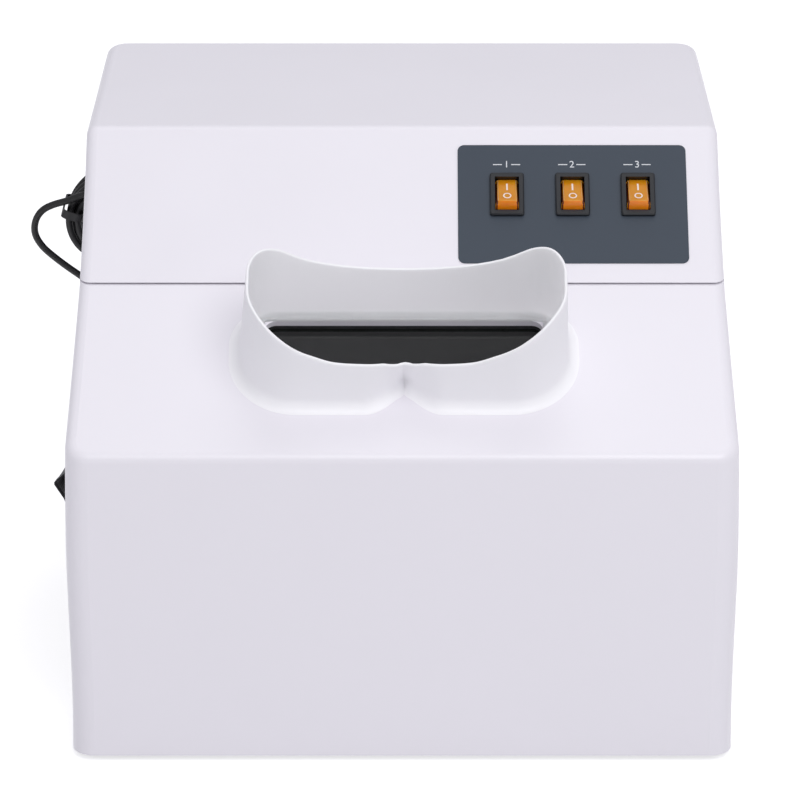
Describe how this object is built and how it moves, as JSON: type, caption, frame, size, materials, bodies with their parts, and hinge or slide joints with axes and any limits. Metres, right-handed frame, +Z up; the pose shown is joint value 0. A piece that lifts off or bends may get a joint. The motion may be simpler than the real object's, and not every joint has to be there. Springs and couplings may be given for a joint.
{
  "type": "ultraviolet viewing cabinet",
  "caption": "White desktop dark cabinet for ultraviolet viewing, with a face-shaped eye hood, rocker switches, curtained arm ports and a wound mains lead",
  "frame": {"origin": "on the ground under the middle of the cabinet, curtains included and the mains lead left out", "axes": "+X to the right as one faces the switches, +Y to the back, +Z up"},
  "size_m": [0.3315, 0.2986, 0.243],
  "materials": {
    "white_shell": "satin",
    "hood_white": "satin",
    "steel_sheet": "satin",
    "screw_steel": "plated",
    "rubber_black": "matte",
    "sample_black": "matte",
    "window_glass": "polished",
    "label_slate": "satin",
    "switch_black": "satin",
    "rocker_amber": "polished",
    "brass_blade": "stamped",
    "filter_glass": "polished",
    "diffuser": "frosted",
    "lamp_glass": "polished",
    "lamp_metal": "satin",
    "holder_white": "moulded",
    "reflector_metal": "polished",
    "ballast_paint": "satin",
    "cloth_black": "woven",
    "cord_black": "satin",
    "plug_black": "moulded"
  },
  "bodies": {
    "cabinet": {"ballasts": "ballast_paint", "base_plate": "steel_sheet", "base_screws": "screw_steel", "clamp_screws": "screw_steel", "control_panel_label": "label_slate", "cord_gland": "plug_black", "cord_gland_nut": "plug_black", "cord_lead": "cord_black", "cord_ring": "cord_black", "cord_tail": "cord_black", "cord_tie": "plug_black", "cover_screws": "screw_steel", "filter_long_wave": "filter_glass", "filter_short_wave": "filter_glass", "foot_screws": "screw_steel", "hood_screws": "screw_steel", "lamp_chassis": "steel_sheet", "lamp_holders": "holder_white", "lamp_housing_cover": "white_shell", "lamp_reflector": "reflector_metal", "left_clamp_bar": "steel_sheet", "left_curtain_band": "cloth_black", "left_port_trim": "rubber_black", "light_diffuser": "diffuser", "main_housing": "white_shell", "plug_body": "plug_black", "plug_pins": "brass_blade", "right_clamp_bar": "steel_sheet", "right_curtain_band": "cloth_black", "right_port_trim": "rubber_black", "rubber_feet": "rubber_black", "sample_plate": "sample_black", "switch_housing_1": "switch_black", "switch_housing_2": "switch_black", "switch_housing_3": "switch_black", "switch_terminals": "brass_blade", "terminal_block": "holder_white", "tube_end_caps": "lamp_metal", "tube_long_wave": "lamp_glass", "tube_short_wave": "lamp_glass", "tube_white_light": "lamp_glass", "uv_blocking_window": "window_glass", "viewing_hood": "hood_white", "window_frame": "steel_sheet", "window_frame_screws": "screw_steel", "window_gasket": "rubber_black"},
    "left_curtain": {"left_curtain": "cloth_black"},
    "right_curtain": {"right_curtain": "cloth_black"},
    "rocker_1": {"rocker_1": "rocker_amber"},
    "rocker_2": {"rocker_2": "rocker_amber"},
    "rocker_3": {"rocker_3": "rocker_amber"}
  },
  "joints": [
    {"name": "rocker_1_press", "type": "hinge", "parent": "cabinet", "child": "rocker_1", "pos_m": [0.04605, -0.02106, 0.22018], "axis": [1, 0, 0], "range_deg": [0, 50]},
    {"name": "rocker_2_press", "type": "hinge", "parent": "cabinet", "child": "rocker_2", "pos_m": [0.0748, -0.02106, 0.22018], "axis": [1, 0, 0], "range_deg": [0, 50]},
    {"name": "rocker_3_press", "type": "hinge", "parent": "cabinet", "child": "rocker_3", "pos_m": [0.10355, -0.02106, 0.22018], "axis": [1, 0, 0], "range_deg": [0, 50]},
    {"name": "left_curtain_swing", "type": "hinge", "parent": "cabinet", "child": "left_curtain", "pos_m": [-0.14352, -0.00799, 0.1154], "axis": [0.0105, 0.9999, 0], "range_deg": [0, 70]},
    {"name": "right_curtain_swing", "type": "hinge", "parent": "cabinet", "child": "right_curtain", "pos_m": [0.14352, -0.00799, 0.1154], "axis": [0.0105, -0.9999, 0], "range_deg": [0, 70]}
  ]
}
